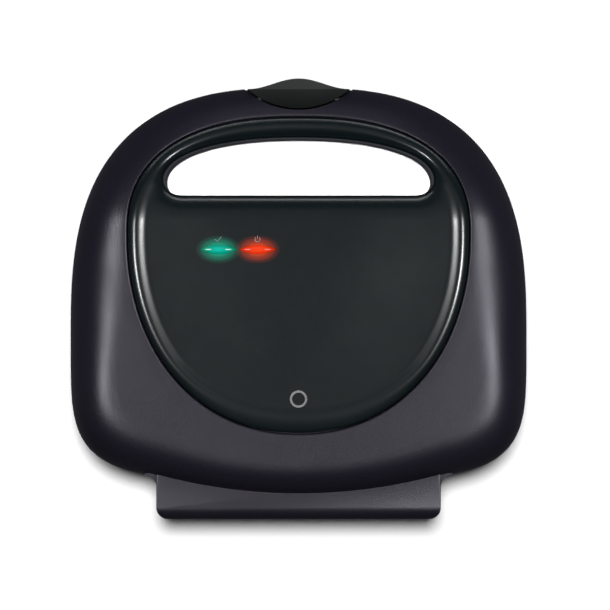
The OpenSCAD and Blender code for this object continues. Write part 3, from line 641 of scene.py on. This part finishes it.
def ramp(nodes, links, source, stops):
    made = nodes.new("ShaderNodeValToRGB")
    made.color_ramp.elements[0].position, made.color_ramp.elements[0].color = stops[0]
    made.color_ramp.elements[1].position, made.color_ramp.elements[1].color = stops[-1]
    for place, colour in stops[1:-1]:
        made.color_ramp.elements.new(place).color = colour
    links.new(source, made.inputs["Fac"])
    return made


def grey(v):
    return (v, v, v, 1.0)


def blend(nodes, links, kind, first, second, factor=1.0):
    """Output of a colour mix of two outputs."""
    made = nodes.new("ShaderNodeMix")
    made.data_type, made.blend_type = "RGBA", kind
    made.inputs["Factor"].default_value = factor
    links.new(first, made.inputs["A"])
    links.new(second, made.inputs["B"])
    return made.outputs["Result"]


def surface(name, colour, roughness, metallic=0.0, grain=900.0, grain_bump=0.04, vary=0.15, smudge=30.0,
            **sockets):
    """Principled surface with colour variation, uneven roughness and a fine moulded or brushed grain."""
    made, nodes, links, shader = node_material(name)
    fine = noise(nodes, links, grain, 3.0)
    broad = noise(nodes, links, smudge, 5.0)
    dark = tuple(c * (1 - vary) for c in colour) + (1.0,)
    light = tuple(min(1.0, c * (1 + vary)) for c in colour) + (1.0,)
    tint = ramp(nodes, links, fine.outputs["Fac"], [(0.3, dark), (0.7, light)])
    links.new(tint.outputs["Color"], shader.inputs["Base Color"])
    low, high = roughness * 0.88, min(1.0, roughness * 1.14)
    haze = ramp(nodes, links, broad.outputs["Fac"], [(0.3, grey(low)), (0.7, grey(high))])
    links.new(haze.outputs["Color"], shader.inputs["Roughness"])
    bump = nodes.new("ShaderNodeBump")
    bump.inputs["Strength"].default_value = grain_bump
    bump.inputs["Distance"].default_value = 0.0002
    links.new(fine.outputs["Fac"], bump.inputs["Height"])
    links.new(bump.outputs["Normal"], shader.inputs["Normal"])
    shader.inputs["Metallic"].default_value = metallic
    for key, value in sockets.items():
        shader.inputs[key.replace("_", " ")].default_value = value
    return made


# Half sizes, in metres, of the painted glow (painted lamp light on the panel) round a lens and of the bright field
# inside the lens
PAINTED_GLOW_SIZE = (0.0118, 0.0074)
CORE_SIZE = (0.0085, 0.0028)


def painted_lamp_glow(made, centres):
    """Painted lamp glow: emission painted on the dark panel round each lens, fading with distance, standing in for
    lamp light that spills onto it.
    """
    nodes, links = made.node_tree.nodes, made.node_tree.links
    shader = nodes["Principled BSDF"]
    coords = nodes.new("ShaderNodeTexCoord")
    painted_glow_total = None
    for (x, y), colour in centres:
        shift = nodes.new("ShaderNodeMapping")
        shift.vector_type = "POINT"
        shift.inputs["Scale"].default_value = (1 / PAINTED_GLOW_SIZE[0], 1 / PAINTED_GLOW_SIZE[1], 0)
        shift.inputs["Location"].default_value = (-x * MM / PAINTED_GLOW_SIZE[0], -y * MM / PAINTED_GLOW_SIZE[1], 0)
        links.new(coords.outputs["Object"], shift.inputs["Vector"])
        length = nodes.new("ShaderNodeVectorMath")
        length.operation = "LENGTH"
        links.new(shift.outputs["Vector"], length.inputs[0])
        painted_glow_fade = ramp(nodes, links, length.outputs["Value"], [
            (0.3, tuple(colour) + (1,)), (0.62, tuple(c * 0.4 for c in colour) + (1,)),
            (0.84, tuple(c * 0.1 for c in colour) + (1,)), (1.12, (0, 0, 0, 1))])
        painted_glow_fade.color_ramp.interpolation = "EASE"
        glow = painted_glow_fade.outputs["Color"]
        painted_glow_total = glow if painted_glow_total is None else blend(nodes, links, "ADD", painted_glow_total, glow)
    # The painted glow goes into the panel's emission
    links.new(painted_glow_total, shader.inputs["Emission Color"])
    shader.inputs["Emission Strength"].default_value = 0.5
    return made


def lit_lens(name, edge, core, centre, painted_glint):
    """Glossy translucent lens, brightest in the middle, with a painted highlight, a bright emissive glint line,
    towards each end.
    """
    made, nodes, links, shader = node_material(name)
    coords = nodes.new("ShaderNodeTexCoord")
    shift = nodes.new("ShaderNodeMapping")
    shift.inputs["Scale"].default_value = (1 / CORE_SIZE[0], 1 / CORE_SIZE[1], 0)
    shift.inputs["Location"].default_value = (
        -centre[0] * MM / CORE_SIZE[0], -centre[1] * MM / CORE_SIZE[1], 0)
    links.new(coords.outputs["Object"], shift.inputs["Vector"])
    length = nodes.new("ShaderNodeVectorMath")
    length.operation = "LENGTH"
    links.new(shift.outputs["Vector"], length.inputs[0])
    glow = ramp(nodes, links, length.outputs["Value"], [(0.0, core + (1,)), (0.9, edge + (1,))])
    # Painted glint: a bright line of emission towards each end, standing in for a highlight on the lens
    split = nodes.new("ShaderNodeSeparateXYZ")
    links.new(shift.outputs["Vector"], split.inputs["Vector"])
    reach = nodes.new("ShaderNodeMath")
    reach.operation = "ABSOLUTE"
    links.new(split.outputs["X"], reach.inputs[0])
    along = ramp(nodes, links, reach.outputs["Value"], [
        (0.40, grey(0)), (0.48, grey(1)), (0.72, grey(0.8)), (0.82, grey(0))])
    lift = nodes.new("ShaderNodeMath")
    lift.operation = "ADD"
    lift.inputs[1].default_value = 0.5
    links.new(split.outputs["Y"], lift.inputs[0])
    across = ramp(nodes, links, lift.outputs["Value"], [
        (0.38, grey(0)), (0.46, grey(1)), (0.54, grey(1)), (0.62, grey(0))])
    painted_glint_mask = blend(nodes, links, "MULTIPLY", along.outputs["Color"], across.outputs["Color"])
    lit = blend(nodes, links, "ADD", glow.outputs["Color"], painted_glint_mask, painted_glint)
    links.new(lit, shader.inputs["Emission Color"])
    shader.inputs["Emission Strength"].default_value = 1.0
    ripple = noise(nodes, links, 420.0, 2.0)
    body = ramp(nodes, links, ripple.outputs["Fac"], [
        (0.3, tuple(c * 0.3 for c in edge) + (1,)), (0.7, tuple(c * 0.45 for c in edge) + (1,))])
    links.new(body.outputs["Color"], shader.inputs["Base Color"])
    shader.inputs["Roughness"].default_value = 0.08
    shader.inputs["Coat Weight"].default_value = 1.0
    shader.inputs["Coat Roughness"].default_value = 0.03
    return made


def make_materials():
    lens_places = list(zip(LENS_X, (LENS_Y, LENS_Y)))
    made = {
        "shell_black": surface("shell_black", (0.0085, 0.0076, 0.0132), 0.37, grain=2200, grain_bump=0.4,
                               vary=0.5, smudge=14, Specular_Tint=(0.93, 0.9, 1.0, 1.0)),
        "panel_gloss": surface("panel_gloss", (0.0035, 0.0065, 0.0075), 0.26, grain=300, grain_bump=0.004,
                               vary=0.1, smudge=9, Coat_Weight=0.15, Coat_Roughness=0.14),
        "latch_grey": surface("latch_grey", (0.009, 0.010, 0.010), 0.31, grain=1600, grain_bump=0.08),
        "frame_black": surface("frame_black", (0.018, 0.018, 0.019), 0.5, grain=1500, grain_bump=0.15),
        "plate_coating": surface("plate_coating", (0.022, 0.022, 0.024), 0.36, grain=1400, grain_bump=0.2,
                                 vary=0.5, Specular_IOR_Level=0.6),
        "heater_steel": surface("heater_steel", (0.32, 0.29, 0.24), 0.38, 1.0, grain=500, grain_bump=0.1),
        "reflector_sheet": surface("reflector_sheet", (0.72, 0.73, 0.74), 0.24, 1.0, grain=260,
                                   grain_bump=0.05),
        "screw_steel": surface("screw_steel", (0.62, 0.62, 0.6), 0.3, 1.0, grain=700, grain_bump=0.08),
        "spring_steel": surface("spring_steel", (0.48, 0.48, 0.49), 0.34, 1.0, grain=600, grain_bump=0.08),
        "rubber_black": surface("rubber_black", (0.014, 0.014, 0.014), 0.72, grain=1100, grain_bump=0.3),
        "lamp_glass": surface("lamp_glass", (0.9, 0.85, 0.8), 0.05, grain=200, grain_bump=0.01,
                              Transmission_Weight=0.9),
        "ceramic": surface("ceramic", (0.78, 0.75, 0.69), 0.3, grain=400, grain_bump=0.06, vary=0.05),
        "wire_sleeve": surface("wire_sleeve", (0.68, 0.65, 0.58), 0.8, grain=1300, grain_bump=0.6,
                               vary=0.2),
        "emblem_silver": surface("emblem_silver", (0.42, 0.42, 0.43), 0.3, 1.0, grain=800, grain_bump=0.05),
        "foil": surface("foil", (0.62, 0.62, 0.63), 0.35, 1.0, grain=900, grain_bump=0.08),
        # The last number is the strength of each lens's painted glint
        "lens_green": lit_lens("lens_green", (0.0, 0.2, 0.11), (0.0, 0.47, 0.4), lens_places[0], 0.75),
        "lens_red": lit_lens("lens_red", (0.5, 0.02, 0.002), (0.92, 0.055, 0.008), lens_places[1], 0.3),
    }
    # Painted lamp glow on the panel round each lens, in each lamp's colour
    painted_lamp_glow(made["panel_gloss"], [
        (lens_places[0], (0.0, 0.62, 0.36)), (lens_places[1], (1.15, 0.09, 0.012))])
    return made


def paint(target, material):
    target.data.materials.clear()
    target.data.materials.append(material)


def place(piece, body, slot_name, materials, *nodes):
    """Paints a piece with the material of its slot, attaches it to its body, and hides the CAD nodes it stands
    for.
    """
    paint(piece, materials[slot_name])
    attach(piece, body)
    if nodes:
        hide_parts(*nodes)


# ---- Stage, light and camera -----------------------------------------------------------

def make_camera():
    """Long lens straight above the lid, with the handle side at the top of the image."""
    data = bpy.data.cameras.new("camera")
    data.lens, data.sensor_width = 300.0, 36.0
    data.clip_end = 20.0
    camera = bpy.data.objects.new("camera", data)
    bpy.context.scene.collection.objects.link(camera)
    view_w = 0.3142
    distance = view_w * data.lens / data.sensor_width
    camera.location = (-0.0033, 0.0031, 0.058 + distance)
    camera.rotation_euler = (0, 0, math.pi)
    bpy.context.scene.camera = camera


def area_light(name, place, target, size, power):
    data = bpy.data.lights.new(name, "AREA")
    data.shape, data.size, data.size_y = "RECTANGLE", size[0], size[1]
    data.energy = power
    made = bpy.data.objects.new(name, data)
    made.location = place
    bpy.context.scene.collection.objects.link(made)
    aim = Vector(target) - Vector(place)
    made.rotation_mode = "QUATERNION"
    made.rotation_quaternion = aim.to_track_quat("-Z", "Y")
    return made


def link_light(light, target, state):
    """Lets a light reach one object alone (INCLUDE) or everything but that object (EXCLUDE)."""
    group = bpy.data.collections.new(light.name + "_" + target.name)
    group.objects.link(target)
    light.light_linking.receiver_collection = group
    group.collection_objects[0].light_linking.link_state = state


def make_world():
    """Soft overhead light, dark lower down and towards the tail, with a dim glow from below the horizon."""
    world = bpy.data.worlds.new("world")
    world.use_nodes = True
    nodes, links = world.node_tree.nodes, world.node_tree.links
    coords = nodes.new("ShaderNodeTexCoord")
    split = nodes.new("ShaderNodeSeparateXYZ")
    links.new(coords.outputs["Generated"], split.inputs["Vector"])
    sky = ramp(nodes, links, split.outputs["Z"], [
        (0.0, (0.09, 0.09, 0.105, 1)), (0.42, (0.014, 0.014, 0.025, 1)), (0.72, (0.036, 0.036, 0.046, 1)),
        (0.86, grey(0.21)), (0.95, grey(0.19)), (1.0, grey(0.105))])
    shade = ramp(nodes, links, split.outputs["Y"], [(0.05, grey(1.0)), (0.5, grey(0.45))])
    shaded = blend(nodes, links, "MULTIPLY", sky.outputs["Color"], shade.outputs["Color"])
    links.new(shaded, nodes["Background"].inputs["Color"])
    bpy.context.scene.world = world


def make_stage(panel):
    floor = new_object("floor", [(-4000, -4000, 0), (4000, -4000, 0), (4000, 4000, 0), (-4000, 4000, 0)],
                       [(0, 1, 2, 3)])
    paint(floor, surface("paper", (0.93, 0.93, 0.93), 0.9, grain=40, grain_bump=0.0, vary=0.005))
    floor.visible_diffuse = floor.visible_glossy = False
    make_world()
    for side, name, power in ((1, "left_strip", 4.4), (-1, "right_strip", 5.6)):
        lamp = area_light(name, (side * 0.48, 0.02, 0.91), (side * 0.09, 0.02, 0.07), (0.11, 0.20), power)
        link_light(lamp, floor, "EXCLUDE")
    key = area_light("handle_key", (0.0, -0.9, 1.2), (0, 0, 0.05), (1.4, 0.4), 6)
    key.visible_glossy = False
    link_light(key, floor, "EXCLUDE")
    rim_light = area_light("rim_light", (0.0, -1.2, 0.22), (0, 0, 0.07), (1.6, 0.12), 3)
    link_light(rim_light, panel, "INCLUDE")
    sun = bpy.data.lights.new("floor_light", "SUN")
    sun.energy, sun.angle = 3.4, math.radians(9)
    sun_object = bpy.data.objects.new("floor_light", sun)
    sun_object.rotation_euler = (math.radians(7), 0, 0)
    bpy.context.scene.collection.objects.link(sun_object)
    link_light(sun_object, floor, "INCLUDE")
    beam = area_light("grip_beam", (0, -0.068, 0.14), (0, -0.068, 0), (0.16, 0.05), 0.06)
    beam.data.spread = math.radians(6)
    beam.visible_camera = False
    link_light(beam, floor, "INCLUDE")
    scene = bpy.context.scene
    scene.view_settings.view_transform = "Standard"
    scene.view_settings.look = "None"


# ---- Assembly --------------------------------------------------------------------------

make_camera()
materials = make_materials()

slot_of = {part["node"]: part["material_slot"] for part in frame["record"]["subparts"]}
for node_name, node_object in frame["nodes"].items():
    smooth(node_object)
    paint(node_object, materials[slot_of[node_name]])

place(lid_casing(), "lid", "shell_black", materials, "lid_housing")
place(base_casing(), "base", "shell_black", materials, "base_housing")
panel = lid_panel()
place(panel, "lid", "panel_gloss", materials, "lid_panel")
place(latch(), "latch", "latch_grey", materials, "latch")
place(lens("ready_window", "ready_lens"), "lid", "lens_green", materials, "ready_lens")
place(lens("power_window", "power_lens"), "lid", "lens_red", materials, "power_lens")
place(icon("ready_mark", LENS_X[0], LENS_Y - 5.2, "tick"), "lid", "emblem_silver", materials)
place(icon("power_mark", LENS_X[1], LENS_Y - 5.2, "power"), "lid", "emblem_silver", materials)

make_stage(panel)
